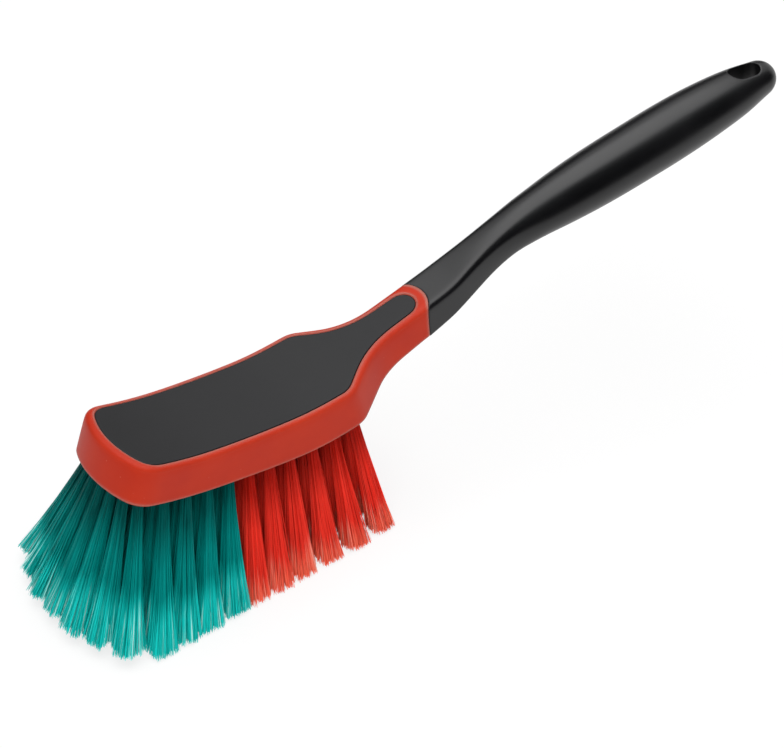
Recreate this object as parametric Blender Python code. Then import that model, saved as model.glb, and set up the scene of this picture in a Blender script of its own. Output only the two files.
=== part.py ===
"""Hand brush for washing vehicles.

A curved head carries rows of bristles in two colours inside a soft bumper, and a
long handle rises behind it to a hole to hang it by. +X runs from the front of the
head to the end of the handle, +Z is up, and the bristle tips stand on z = 0.
"""
import math

import bmesh
import bpy
from mathutils import Vector

# Fits that all pieces share
SEAT_GAP = 0.0003
CUT_OVERRUN = 0.004

# Head seen from above, measured along its curved top from the front edge; shoulders and
# necks are measured back from the joint
HEAD_LENGTH = 0.1861
HEAD_HALF_WIDTH = 0.0279
FRONT_RADIUS = 0.050
CORNER_RADIUS = 0.0130
NECK_HALF_WIDTH = 0.0114
JOINT_BULGE = 0.0050
JOINT_RAKE = 0.0035
RIM_SHOULDER_BACK = 0.0618
RIM_SHOULDER_RADIUS = 0.014
RIM_NECK_BACK = 0.0393
RIM_NECK_FILLET_RADIUS = 0.042
BASE_SHOULDER_BACK = 0.0598
BASE_SHOULDER_RADIUS = 0.012
BASE_NECK_BACK = 0.0361
BASE_NECK_FILLET_RADIUS = 0.034

# Head seen from the side: depth below the rim, slope along its top, and how high and how
# far back the place is whose height above the bristle tips is given
HEAD_DEPTH = 0.0215
JOINT_DEPTH = 0.0188
DEPTH_SHARES = ((0.0, 1.0), (0.25, 1.01), (0.45, 1.06), (0.58, 1.10), (0.68, 1.07), (0.78, 1.0))
DEPTH_TAPER_SHARES = (0.78, 0.98)
HEAD_SLOPE_SHARES = ((0.0, -19.0), (0.098, -16.8), (0.25, -8.6), (0.36, -6.0), (0.45, -4.4),
                     (0.51, -2.2), (0.55, 1.6), (0.59, 5.2), (0.65, 6.6), (0.69, 9.8),
                     (0.73, 13.2), (0.80, 14.0), (0.88, 14.6), (1.0, 15.0))
STAND_HEIGHT = 0.0819
STAND_AT = 0.0702

# Bumper
BUMPER_WALL = 0.0028
RIM_THICKNESS = 0.0024
RIM_RADIUS = 0.0029
WINDOW_EDGE_RADIUS = 0.0004
LIP_RADIUS = 0.0012

# Top panel, which fills the bumper's window
PANEL_FRONT = 0.0045
PANEL_END_BACK = 0.0057
PANEL_HALF_WIDTH = 0.0245
PANEL_FRONT_RADIUS = 0.045
PANEL_CORNER_RADIUS = 0.010
PANEL_SHOULDER_BACK = 0.0628
PANEL_SHOULDER_RADIUS = 0.012
PANEL_NECK_BACK = 0.0411
PANEL_NECK_FILLET_RADIUS = 0.048
PANEL_NECK_HALF_WIDTH = 0.0080
PANEL_END_HALF_WIDTH = 0.0073
PANEL_TIP_BULGE = 0.0072
PANEL_SINK = 0.0006
PANEL_EDGE_RADIUS = 0.0004

# Drilled strips and their tufts
FACE_RECESS = 0.0008
STRIP_THICKNESS = 0.0040
FIRST_ROW_AT = 0.0253
LAST_ROW_BACK = 0.0618
FRONT_ROW_AT = 0.0072
FRONT_ROW_RADIUS = 0.034
STRAIGHT_ROWS = 10
RED_ROWS = 6
TUFTS_PER_ROW = 6
FRONT_TUFTS = 7
OUTER_TUFT_OFFSET = 0.0212
FRONT_OUTER_TUFT_OFFSET = 0.0195
STRANDS_PER_TUFT = 6
STRAND_SIDES = 4
STRAND_ROOT_DEPTH = 0.0020
STRAND_ROOT_SHARE = 0.068
STRAND_TIP_SHARE = 0.114
TUFT_ROOT_SHARE = 0.155
TUFT_TIP_SHARE = 0.40
ROW_LEAN_SHARES = ((0.04, -24.0), (0.07, -20.0), (0.135, -18.0), (0.25, -17.0), (0.31, -14.5),
                   (0.43, -10.4), (0.49, -8.6), (0.545, -6.0), (0.60, -3.2), (0.66, 2.6))
SIDE_LEAN_SHARES = ((0.0, 19.0), (0.25, 20.5), (0.60, 19.5), (0.66, 17.0))
FRONT_TIP_RISE = 0.0050

# Handle: its axis starts at the joint with the head
HANDLE_LENGTH = 0.2267
HANDLE_SLOPE_SHARES = ((0.0, 23.5), (0.084, 25.0), (0.145, 24.0), (0.207, 19.0), (0.257, 13.0),
                       (0.308, 9.6), (0.39, 8.6), (0.5, 8.4), (0.7, 8.6), (0.85, 7.0), (1.0, 6.5))
GRIP_RADIUS = 0.0154
WIDTH_SHARES = ((0.064, 0.72), (0.105, 0.66), (0.145, 0.615), (0.186, 0.60), (0.237, 0.64),
                (0.288, 0.74), (0.379, 0.88), (0.481, 0.97), (0.603, 1.0), (0.695, 1.0),
                (0.786, 0.95), (0.888, 0.815), (0.954, 0.63))
HEIGHT_SHARES = ((0.064, 0.51), (0.105, 0.52), (0.145, 0.54), (0.186, 0.575), (0.237, 0.64),
                 (0.288, 0.745), (0.379, 0.885), (0.481, 0.97), (0.603, 1.0), (0.695, 1.0),
                 (0.786, 0.95), (0.888, 0.815), (0.954, 0.63))
ROUND_FROM_SHARES = (0.05, 0.34)
HANDLE_UNDER_EDGE_RADIUS = 0.0012
TANG_LENGTH = 0.0200
TANG_HALF_WIDTH = 0.0062
TANG_HALF_HEIGHT = 0.0033
TANG_EDGE_RADIUS = 0.0012
CHANNEL_MOUTH_WALL = 0.0016
GRIP_WALL = 0.0036
CHANNEL_END_BACK = 0.0406
CHANNEL_TIP_RADIUS = 0.0008
HANG_HOLE_BACK = 0.0189
HANG_HOLE_LENGTH = 0.0188
HANG_HOLE_WIDTH = 0.0113

# Shading and the shape of rounded ends
SHARP_DEGREES = 35.0
TIGHTEST_MITRE = 0.6
CHANNEL_BLUNTNESS = 8

# Faces per feature
ARC_STEPS = 6
RIM_STEPS = 3
WALL_STEPS = 3
SIDE_STEPS = 10
END_STEPS = 8
CORNER_POINTS = 6
FLAT_POINTS = 5
HOLE_STEPS = 8
FACE_STEPS = 3
HANDLE_RINGS = 40
CAP_RINGS = 5
SPINE_STEP = 0.0005


def clear_scene():
    for old in list(bpy.data.objects):
        bpy.data.objects.remove(old, do_unlink=True)


def make_material(name, colour, roughness):
    """Principled finish; colour is linear red, green and blue."""
    finish = bpy.data.materials.new(name)
    finish.use_nodes = True
    shader = finish.node_tree.nodes["Principled BSDF"]
    shader.inputs["Base Color"].default_value = (*colour, 1.0)
    shader.inputs["Roughness"].default_value = roughness
    return finish


def smooth_table(table, at):
    """Value at a place in a table of (place, value), on a curve through its points."""
    if at <= table[0][0]:
        return table[0][1]
    if at >= table[-1][0]:
        return table[-1][1]
    k = max(i for i in range(len(table) - 1) if table[i][0] <= at)
    (x0, y0), (x1, y1) = table[k], table[k + 1]
    before = table[max(k - 1, 0)]
    after = table[min(k + 2, len(table) - 1)]
    span = x1 - x0
    m0 = (y1 - before[1]) / (x1 - before[0]) * span
    m1 = (after[1] - y0) / (after[0] - x0) * span
    t = (at - x0) / span
    return ((2 * t ** 3 - 3 * t ** 2 + 1) * y0 + (t ** 3 - 2 * t ** 2 + t) * m0
            + (3 * t ** 2 - 2 * t ** 3) * y1 + (t ** 3 - t ** 2) * m1)


def smoothstep(low, high, at):
    t = min(max((at - low) / (high - low), 0.0), 1.0)
    return t * t * (3 - 2 * t)


class Spine:
    """A line in the XZ plane whose slope follows a table of (share of length, degrees)."""

    def __init__(self, start, length, slopes):
        self.length = length
        self.slopes = slopes
        self.steps = max(int(length / SPINE_STEP), 1)
        self.step = length / self.steps
        self.points = [start.copy()]
        for i in range(self.steps):
            middle = (i + 0.5) * self.step
            self.points.append(self.points[-1] + self.along(middle) * self.step)

    def along(self, s):
        slope = math.radians(smooth_table(self.slopes, s / self.length))
        return Vector((math.cos(slope), 0.0, math.sin(slope)))

    def up(self, s):
        forward = self.along(s)
        return Vector((-forward.z, 0.0, forward.x))

    def at(self, s):
        i = min(max(int(s / self.step), 0), self.steps - 1)
        return self.points[i].lerp(self.points[i + 1], (s - i * self.step) / self.step)


def arc(centre, radius, start, end, steps):
    """Points on an arc, in degrees, both ends included."""
    points = []
    for k in range(steps + 1):
        angle = math.radians(start + (end - start) * k / steps)
        points.append(Vector((centre[0] + radius * math.cos(angle),
                              centre[1] + radius * math.sin(angle))))
    return points


def fillet(before, corner, after, radius, steps):
    """Arc that rounds the corner between two straight lines."""
    corner = Vector(corner)
    back = (Vector(before) - corner).normalized()
    ahead = (Vector(after) - corner).normalized()
    half = back.angle(ahead) / 2
    centre = corner + (back + ahead).normalized() * (radius / math.sin(half))
    reach = radius / math.tan(half)
    first = corner + back * reach - centre
    turn = first.angle_signed(corner + ahead * reach - centre)
    points = []
    for k in range(steps + 1):
        angle = -turn * k / steps
        points.append(centre + Vector((first.x * math.cos(angle) - first.y * math.sin(angle),
                                       first.x * math.sin(angle) + first.y * math.cos(angle))))
    return points


def straight(start, end, steps):
    """Points between two ends, neither end included."""
    return [Vector(start).lerp(Vector(end), k / steps) for k in range(1, steps)]


def half_outline(front, half_width, front_radius, corner_radius, shoulder, shoulder_radius,
                 neck, neck_radius, neck_half_width, end, end_half_width, bulge):
    """Half of a head-shaped outline, from the front round one side to the neck's end."""
    inner_y = half_width - corner_radius
    reach = front_radius - corner_radius
    corner_x = front + front_radius - math.sqrt(reach ** 2 - inner_y ** 2)
    turn = math.degrees(math.asin(inner_y / reach))
    points = arc((front + front_radius, 0.0), front_radius, 180.0, 180.0 - turn, ARC_STEPS)
    points += arc((corner_x, inner_y), corner_radius, 180.0 - turn, 90.0, ARC_STEPS)[1:]
    shoulder_corner = (shoulder, half_width)
    neck_corner = (neck, neck_half_width)
    end_corner = (end - bulge, end_half_width)
    shoulder_arc = fillet(points[-1], shoulder_corner, neck_corner, shoulder_radius, ARC_STEPS)
    neck_arc = fillet(shoulder_corner, neck_corner, end_corner, neck_radius, ARC_STEPS)
    points += straight(points[-1], shoulder_arc[0], SIDE_STEPS)
    points += shoulder_arc
    points += neck_arc
    points += straight(neck_arc[-1], end_corner, END_STEPS)
    end_radius = (bulge ** 2 + end_half_width ** 2) / (2 * bulge)
    sweep = math.degrees(math.asin(min(end_half_width / end_radius, 1.0)))
    points += arc((end - end_radius, 0.0), end_radius, sweep, 0.0, END_STEPS)
    points[0].y = points[-1].y = 0.0
    return points


def outward(points):
    """Outward direction at each point of a half outline, lengthened at corners."""
    directions = []
    for i, point in enumerate(points):
        before = points[i - 1] if i > 0 else Vector((points[1].x, -points[1].y))
        after = points[i + 1] if i + 1 < len(points) else Vector((points[-2].x, -points[-2].y))
        a = (point - before).normalized()
        b = (after - point).normalized()
        middle = (a + b).normalized()
        directions.append(Vector((-middle.y, middle.x)) / max(middle.dot(a), TIGHTEST_MITRE))
    return directions


def inset(points, distance):
    return [p - n * distance for p, n in zip(points, outward(points))]


def rim_outline():
    """Outline of the head's walls at the rim."""
    return half_outline(0.0, HEAD_HALF_WIDTH, FRONT_RADIUS, CORNER_RADIUS,
                        HEAD_LENGTH - RIM_SHOULDER_BACK, RIM_SHOULDER_RADIUS,
                        HEAD_LENGTH - RIM_NECK_BACK, RIM_NECK_FILLET_RADIUS,
                        NECK_HALF_WIDTH, HEAD_LENGTH, NECK_HALF_WIDTH, JOINT_BULGE)


def base_outline():
    """Outline of the head's walls at the underside, whose shoulders reach further back."""
    return half_outline(0.0, HEAD_HALF_WIDTH, FRONT_RADIUS, CORNER_RADIUS,
                        HEAD_LENGTH - BASE_SHOULDER_BACK, BASE_SHOULDER_RADIUS,
                        HEAD_LENGTH - BASE_NECK_BACK, BASE_NECK_FILLET_RADIUS,
                        NECK_HALF_WIDTH, HEAD_LENGTH - JOINT_RAKE, NECK_HALF_WIDTH, JOINT_BULGE)


def joint_place(y, depth):
    """Where the head ends: less far along at its sides than in the middle, and at its foot."""
    radius = (JOINT_BULGE ** 2 + NECK_HALF_WIDTH ** 2) / (2 * JOINT_BULGE)
    bow = radius - math.sqrt(radius ** 2 - min(abs(y), NECK_HALF_WIDTH) ** 2)
    return HEAD_LENGTH - bow - JOINT_RAKE * depth / JOINT_DEPTH


def wall_outline(depths, insets):
    """Half outline of the walls at a depth and an inset per point."""
    base = base_outline()
    rim = rim_outline()
    inner_rim = [p - n * i for p, n, i in zip(rim, outward(rim), insets)]
    inner_base = [p - n * i for p, n, i in zip(base, outward(base), insets)]
    shares = [depth / depth_at(p.x) for p, depth in zip(base, depths)]
    return [r.lerp(b, share) for r, b, share in zip(inner_rim, inner_base, shares)]


def wall_levels(top, foot, inset_by):
    """Levels down an inner wall, close enough together to follow its twist."""
    levels = []
    for k in range(WALL_STEPS + 1):
        depths = [t + (f - t) * k / WALL_STEPS for t, f in zip(top, foot)]
        levels.append((wall_outline(depths, [inset_by] * len(depths)), depths))
    return levels


def edge_outline(depths, inset_y):
    """Half outline of the outer walls, drawn in at the sides but not at the joint."""
    count = len(depths)
    half = wall_outline(depths, [inset_y] * (count - END_STEPS - 1) + [0.0] * (END_STEPS + 1))
    for i in range(count - END_STEPS - 1, count):
        y = half[i].y * (1 - inset_y / NECK_HALF_WIDTH)
        half[i] = Vector((joint_place(y, depths[i]), y))
    return half


def panel_outline():
    return half_outline(PANEL_FRONT, PANEL_HALF_WIDTH, PANEL_FRONT_RADIUS, PANEL_CORNER_RADIUS,
                        HEAD_LENGTH - PANEL_SHOULDER_BACK, PANEL_SHOULDER_RADIUS,
                        HEAD_LENGTH - PANEL_NECK_BACK, PANEL_NECK_FILLET_RADIUS,
                        PANEL_NECK_HALF_WIDTH, HEAD_LENGTH - PANEL_END_BACK,
                        PANEL_END_HALF_WIDTH, PANEL_TIP_BULGE)


def head_spine():
    spine = Spine(Vector((0.0, 0.0, 0.0)), HEAD_LENGTH, HEAD_SLOPE_SHARES)
    middle = spine.at(STAND_AT)
    shift = Vector((-middle.x, 0.0, STAND_HEIGHT - middle.z))
    return Spine(shift, HEAD_LENGTH, HEAD_SLOPE_SHARES)


def depth_at(s):
    """Depth of the head's underside below its rim."""
    low, high = DEPTH_TAPER_SHARES
    taper = smoothstep(low * HEAD_LENGTH, high * HEAD_LENGTH, s)
    wide = HEAD_DEPTH * smooth_table(DEPTH_SHARES, s / HEAD_LENGTH)
    return wide + (JOINT_DEPTH - wide) * taper


def head_point(spine, s, y, depth):
    """Place on the bent head: along its top, across it, and down from the rim."""
    place = spine.at(s) - spine.up(s) * depth
    return Vector((place.x, y, place.z))


def bent_loop(spine, half, depths):
    """Both sides of a half outline as a closed loop on the bent head, a depth per point."""
    near = [head_point(spine, p.x, p.y, d) for p, d in zip(half, depths)]
    far = [Vector((p.x, -p.y, p.z)) for p in reversed(near) if p.y > 0]
    return near + far


def join_loops(mesh, loops, closed=False):
    """Quads between neighbouring loops; returns the loops' vertices."""
    rings = [[mesh.verts.new(p) for p in loop] for loop in loops]
    pairs = list(zip(rings, rings[1:]))
    if closed:
        pairs.append((rings[-1], rings[0]))
    for lower, upper in pairs:
        for i in range(len(lower)):
            k = (i + 1) % len(lower)
            mesh.faces.new((lower[i], lower[k], upper[k], upper[i]))
    return rings


def ladder_cap(mesh, ring):
    """Closes a loop that is alike on both sides with rungs straight across it."""
    count = len(ring)
    near = [i for i in range(count) if ring[i].co.y >= 0]
    blunt = 1 if ring[0].co.y > 0 else 0
    for i in near[:-1]:
        corners = [ring[i], ring[i + 1], ring[(count - i - 1 - blunt) % count],
                   ring[(count - i - blunt) % count]]
        unique = []
        for corner in corners:
            if corner not in unique:
                unique.append(corner)
        mesh.faces.new(unique)


def finish_object(name, mesh, finish, parent, smooth=True):
    bmesh.ops.recalc_face_normals(mesh, faces=mesh.faces)
    data = bpy.data.meshes.new(name)
    mesh.to_mesh(data)
    mesh.free()
    if smooth:
        data.shade_smooth()
        data.set_sharp_from_angle(angle=math.radians(SHARP_DEGREES))
    if finish is not None:
        data.materials.append(finish)
    made = bpy.data.objects.new(name, data)
    made.parent = parent
    bpy.context.scene.collection.objects.link(made)
    return made


def make_cutter(name, mesh, parent):
    cutter = finish_object(name, mesh, None, parent, smooth=False)
    cutter.hide_render = True
    cutter.display_type = "WIRE"
    return cutter


def add_boolean(target, cutter, operation="DIFFERENCE"):
    cut = target.modifiers.new(cutter.name, "BOOLEAN")
    cut.object = cutter
    cut.operation = operation
    cut.solver = "EXACT"


def ladder_solid(spine, levels):
    """Solid on the bent head from (half outline, depths) levels, first to last."""
    mesh = bmesh.new()
    rings = join_loops(mesh, [bent_loop(spine, half, depths) for half, depths in levels])
    ladder_cap(mesh, rings[0])
    ladder_cap(mesh, rings[-1])
    return mesh


def make_bumper(spine, finish, parent):
    """Soft band round the head, with a rim round the panel's window."""
    window = panel_outline()
    count = len(window)
    spread = outward(window)
    floor = [depth_at(p.x) for p in base_outline()]
    above_floor = [d - LIP_RADIUS for d in floor]
    levels = [(edge_outline(floor, LIP_RADIUS), floor),
              (edge_outline(above_floor, 0.0), above_floor)]
    for k in range(RIM_STEPS + 1):
        turn = math.pi / 2 * k / RIM_STEPS
        depths = [RIM_RADIUS * (1 - math.sin(turn))] * count
        levels.append((edge_outline(depths, RIM_RADIUS * (1 - math.cos(turn))), depths))
    levels.append(([p + n * WINDOW_EDGE_RADIUS for p, n in zip(window, spread)], [0.0] * count))
    levels.append((window, [WINDOW_EDGE_RADIUS] * count))
    levels.append((window, [RIM_THICKNESS] * count))
    levels += wall_levels([RIM_THICKNESS] * count, floor, BUMPER_WALL)
    mesh = bmesh.new()
    join_loops(mesh, [bent_loop(spine, half, depths) for half, depths in levels], closed=True)
    return finish_object("bumper", mesh, finish, parent)


def make_panel(spine, finish, parent):
    """Matt plate on the block, just below the bumper's rim."""
    edge = inset(panel_outline(), SEAT_GAP)
    top = inset(edge, PANEL_EDGE_RADIUS)
    count = len(edge)
    levels = [(top, [PANEL_SINK] * count),
              (edge, [PANEL_SINK + PANEL_EDGE_RADIUS] * count),
              (edge, [RIM_THICKNESS] * count)]
    return finish_object("top_panel", ladder_solid(spine, levels), finish, parent)


def face_depths():
    """Depth of the block's underside at each point of the base outline."""
    return [depth_at(p.x) - FACE_RECESS for p in base_outline()]


def face_outline():
    """Half outline of the block's underside."""
    return wall_outline(face_depths(), [BUMPER_WALL + SEAT_GAP] * len(face_depths()))


def row_places():
    """Place of each straight row, from the front backwards."""
    last = HEAD_LENGTH - LAST_ROW_BACK
    return [FIRST_ROW_AT + (last - FIRST_ROW_AT) * k / (STRAIGHT_ROWS - 1)
            for k in range(STRAIGHT_ROWS)]


def row_pitch():
    places = row_places()
    return places[1] - places[0]


def field_end():
    """Where the drilled strips stop, behind the last row."""
    return row_places()[-1] + row_pitch() / 2


def strip_top(s):
    return depth_at(s) - FACE_RECESS - STRIP_THICKNESS


def make_block(spine, finish, parent):
    """Stiff core under the panel; the drilled strips lie in a step on its underside."""
    top = [RIM_THICKNESS + SEAT_GAP] * len(face_depths())
    levels = wall_levels(top, face_depths(), BUMPER_WALL + SEAT_GAP)
    block = finish_object("brush_block", ladder_solid(spine, levels), finish, parent)
    side = HEAD_HALF_WIDTH
    steps = ARC_STEPS + SIDE_STEPS
    back = field_end() + SEAT_GAP
    bed = [Vector((-CUT_OVERRUN + (back + CUT_OVERRUN) * k / steps, side))
           for k in range(steps + 1)]
    levels = [(bed, [strip_top(p.x) - SEAT_GAP for p in bed]),
              (bed, [depth_at(p.x) + CUT_OVERRUN for p in bed])]
    add_boolean(block, make_cutter("strip_bed", ladder_solid(spine, levels), parent))
    return block


def half_width_at(half, s):
    """Half width of a half outline where it passes a place along the head."""
    for a, b in zip(half, half[1:]):
        if a.x <= s <= b.x and b.x > a.x:
            return a.y + (b.y - a.y) * (s - a.x) / (b.x - a.x)
    return half[0].y


def tuft_places():
    """Rows from the front: name, strip's start and end, and (s, y) of each tuft."""
    rows = []
    edge = face_outline()
    half_pitch = row_pitch() / 2
    front_end = row_places()[0] - half_pitch
    front_tufts = []
    for k in range(FRONT_TUFTS):
        y = FRONT_OUTER_TUFT_OFFSET * (2 * k / (FRONT_TUFTS - 1) - 1)
        bow = FRONT_ROW_RADIUS - math.sqrt(FRONT_ROW_RADIUS ** 2 - y ** 2)
        front_tufts.append((FRONT_ROW_AT + bow, y))
    rows.append(("green_tufts_front", edge[0].x, front_end - SEAT_GAP / 2, front_tufts))
    for k, place in enumerate(row_places()):
        green = STRAIGHT_ROWS - RED_ROWS
        colour, number = ("green", k + 1) if k < green else ("red", k - green + 1)
        tufts = [(place, OUTER_TUFT_OFFSET * (2 * j / (TUFTS_PER_ROW - 1) - 1))
                 for j in range(TUFTS_PER_ROW)]
        rows.append((f"{colour}_tufts_{number:02d}", place - half_pitch + SEAT_GAP / 2,
                     place + half_pitch - SEAT_GAP / 2, tufts))
    return rows


def strip_half(start, end):
    """Half outline of a drilled strip between two places along the head."""
    edge = face_outline()
    if start <= edge[0].x:
        half = [p for p in edge if p.x < end - SEAT_GAP][:2 * ARC_STEPS + SIDE_STEPS]
        half.append(Vector((end, half_width_at(edge, end))))
    else:
        places = [start + (end - start) * k / 2 for k in range(3)]
        half = [Vector((place, half_width_at(edge, place))) for place in places]
    return half


def add_strand(mesh, root, tip, sides):
    """One filament bundle: a tapered prism whose tip is cut level."""
    rings = []
    for centre, share in ((root, STRAND_ROOT_SHARE), (tip, STRAND_TIP_SHARE)):
        radius = share * row_pitch()
        ring = []
        for k in range(sides):
            angle = 2 * math.pi * (k + 0.5) / sides
            ring.append(mesh.verts.new(centre + Vector((math.cos(angle), math.sin(angle), 0.0))
                                       * radius))
        rings.append(ring)
    lower, upper = rings
    for k in range(sides):
        n = (k + 1) % sides
        mesh.faces.new((lower[k], lower[n], upper[n], upper[k]))
    mesh.faces.new(lower)
    mesh.faces.new(upper)


def add_tuft(mesh, spine, s, y, rise):
    """A fan of strands from one hole down to the ground, or to a little above it."""
    face = head_point(spine, s, y, depth_at(s) - FACE_RECESS)
    lean = math.tan(math.radians(smooth_table(ROW_LEAN_SHARES, s / HEAD_LENGTH)))
    side = math.tan(math.radians(smooth_table(SIDE_LEAN_SHARES, s / HEAD_LENGTH)))
    side *= y / OUTER_TUFT_OFFSET
    for k in range(STRANDS_PER_TUFT):
        angle = 2 * math.pi * k / STRANDS_PER_TUFT
        spread = Vector((math.cos(angle), math.sin(angle), 0.0))
        start = face + spread * TUFT_ROOT_SHARE * row_pitch()
        drop = face.z - rise
        tip = Vector((face.x + lean * drop, face.y + side * drop, rise))
        tip += spread * TUFT_TIP_SHARE * row_pitch()
        root = start - (tip - start).normalized() * STRAND_ROOT_DEPTH
        add_strand(mesh, root, tip, STRAND_SIDES)


def make_row(spine, name, start, end, tufts, finish, parent):
    """One drilled strip with its row of tufts fused to it."""
    half = strip_half(start, end)
    levels = [(half, [strip_top(p.x) for p in half]),
              (half, [depth_at(p.x) - FACE_RECESS for p in half])]
    row = finish_object(name, ladder_solid(spine, levels), finish, parent, smooth=False)
    mesh = bmesh.new()
    rise = FRONT_TIP_RISE if name.endswith("front") else 0.0
    for s, y in tufts:
        add_tuft(mesh, spine, s, y, rise)
    add_boolean(row, make_cutter(f"{name}_strands", mesh, parent), "UNION")
    return row


def section(half_width, half_height, top_radius, under_radius, roundness):
    """Points of a section: a rounded box that turns into an oval as roundness nears 1."""
    points = []
    corners = ((1, 1, top_radius), (-1, 1, top_radius), (-1, -1, under_radius),
               (1, -1, under_radius))
    edges = [min(radius, half_width, half_height) for _, _, radius in corners]
    steps = CORNER_POINTS + FLAT_POINTS
    for quarter, (sy, sh, _) in enumerate(corners):
        edge = edges[quarter]
        following = edges[(quarter + 1) % len(corners)]
        box = arc((sy * (half_width - edge), sh * (half_height - edge)), edge,
                  90.0 * quarter, 90.0 * (quarter + 1), CORNER_POINTS - 1)
        if quarter in (0, 2):
            ahead = Vector((-sy * (half_width - following), sh * half_height))
        else:
            ahead = Vector((sy * half_width, -sh * (half_height - following)))
        box += straight(box[-1], ahead, FLAT_POINTS + 1)
        for k, point in enumerate(box):
            angle = math.radians(90.0 * (quarter + 0.5 + (k - (CORNER_POINTS - 1) / 2) / steps))
            oval = Vector((half_width * math.cos(angle), half_height * math.sin(angle)))
            points.append(point.lerp(oval, roundness))
    return points


def handle_size(share):
    """Half width and half height of the handle at a share of its length."""
    width = ((0.0, NECK_HALF_WIDTH / GRIP_RADIUS),) + WIDTH_SHARES
    height = ((0.0, JOINT_DEPTH / 2 / GRIP_RADIUS),) + HEIGHT_SHARES
    half_width = smooth_table(width, share) * GRIP_RADIUS
    half_height = smooth_table(height, share) * GRIP_RADIUS
    last = WIDTH_SHARES[-1][0]
    if share > last:
        tail = math.sqrt(max(1 - ((share - last) / (1 - last)) ** 2, 0.0))
        return half_width * tail, half_height * tail
    return half_width, half_height


def handle_spine(head):
    start = head_point(head, HEAD_LENGTH, 0.0, JOINT_DEPTH / 2)
    return Spine(start, HANDLE_LENGTH, HANDLE_SLOPE_SHARES)


def place_section(axis, t, points):
    centre = axis.at(t)
    up = axis.up(t)
    return [centre + Vector((0.0, p.x, 0.0)) + up * p.y for p in points]


def tang_section(grow):
    edge = max(TANG_EDGE_RADIUS + grow, SEAT_GAP)
    return section(TANG_HALF_WIDTH + grow, TANG_HALF_HEIGHT + grow, edge, edge, 0.0)


def tang_loop(head, t, grow=0.0):
    """Tang section at a place before or after the joint, along the head's end."""
    up = head.up(HEAD_LENGTH)
    centre = head.at(HEAD_LENGTH) - up * (JOINT_DEPTH / 2) + head.along(HEAD_LENGTH) * t
    return [centre + Vector((0.0, p.x, 0.0)) + up * p.y for p in tang_section(grow)]


def channel_loops(axis):
    """Sections of the hollow in the grip, from its closed end to the neck."""
    end = HANDLE_LENGTH - CHANNEL_END_BACK
    loops = []
    for k in range(HANDLE_RINGS // 2, 0, -1):
        share = k / (HANDLE_RINGS // 2)
        half_width, half_height = handle_size(end * share / HANDLE_LENGTH)
        tail = math.sqrt(1 - share ** CHANNEL_BLUNTNESS)
        half_width = max((half_width - GRIP_WALL) * tail, CHANNEL_TIP_RADIUS)
        half_height = max((half_height - GRIP_WALL) * tail, CHANNEL_TIP_RADIUS)
        loops.append(place_section(axis, end * share,
                                   section(half_width, half_height, half_height, half_height, 1.0)))
    return loops


def face_loop(head, points):
    """Points of a section laid on the handle's face, which follows the head's end."""
    loop = []
    for p in points:
        depth = JOINT_DEPTH / 2 - p.y
        loop.append(head_point(head, joint_place(p.x, depth) + SEAT_GAP, p.x, depth))
    return loop


def tang_loops(head):
    """Sections of the tang from its bore at the joint to the outside of its mouth."""
    return [tang_loop(head, 0.0, -CHANNEL_MOUTH_WALL),
            tang_loop(head, -TANG_LENGTH, -CHANNEL_MOUTH_WALL),
            tang_loop(head, -TANG_LENGTH)]


def outer_loops(head, axis):
    """Sections of the outside, from the tang's root across the face to the far end."""
    face = section(NECK_HALF_WIDTH, JOINT_DEPTH / 2, RIM_RADIUS, HANDLE_UNDER_EDGE_RADIUS, 0.0)
    root = tang_section(0.0)
    loops = []
    for k in range(FACE_STEPS + 1):
        loops.append(face_loop(head, [r.lerp(p, k / FACE_STEPS) for r, p in zip(root, face)]))
    last = WIDTH_SHARES[-1][0]
    shares = [last * (k + 1) / HANDLE_RINGS for k in range(HANDLE_RINGS)]
    shares += [last + (1 - last) * math.sin(math.pi / 2 * (k + 1) / (CAP_RINGS + 1))
               for k in range(CAP_RINGS)]
    for share in shares:
        half_width, half_height = handle_size(share)
        points = section(half_width, half_height, RIM_RADIUS, HANDLE_UNDER_EDGE_RADIUS,
                         smoothstep(*ROUND_FROM_SHARES, share))
        loops.append(place_section(axis, share * HANDLE_LENGTH, points))
    return loops


def close_ring(mesh, ring, centre):
    """Fan of faces that closes a ring."""
    pole = mesh.verts.new(centre)
    for i in range(len(ring)):
        mesh.faces.new((ring[i], ring[(i + 1) % len(ring)], pole))


def make_hang_hole(axis, parent):
    """Cutter for the long hole through the far end of the handle."""
    middle = HANDLE_LENGTH - HANG_HOLE_BACK
    centre = axis.at(middle)
    along = axis.along(middle)
    up = axis.up(middle)
    run = (HANG_HOLE_LENGTH - HANG_HOLE_WIDTH) / 2
    outline = arc((run, 0.0), HANG_HOLE_WIDTH / 2, -90.0, 90.0, HOLE_STEPS)
    outline += arc((-run, 0.0), HANG_HOLE_WIDTH / 2, 90.0, 270.0, HOLE_STEPS)
    reach = GRIP_RADIUS + CUT_OVERRUN
    mesh = bmesh.new()
    loops = [[centre + along * p.x + Vector((0.0, p.y, 0.0)) + up * h for p in outline]
             for h in (-reach, reach)]
    for ring in join_loops(mesh, loops):
        mesh.faces.new(ring)
    return make_cutter("hang_hole_cut", mesh, parent)


def make_handle(head, finish, parent):
    """Neck and grip in one moulding, hollow from the tang's mouth to near the hang hole."""
    axis = handle_spine(head)
    mesh = bmesh.new()
    rings = join_loops(mesh, channel_loops(axis) + tang_loops(head) + outer_loops(head, axis))
    close_ring(mesh, rings[0], axis.at(HANDLE_LENGTH - CHANNEL_END_BACK))
    close_ring(mesh, rings[-1], axis.at(HANDLE_LENGTH))
    handle = finish_object("handle", mesh, finish, parent)
    add_boolean(handle, make_hang_hole(axis, parent))
    return handle


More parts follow.
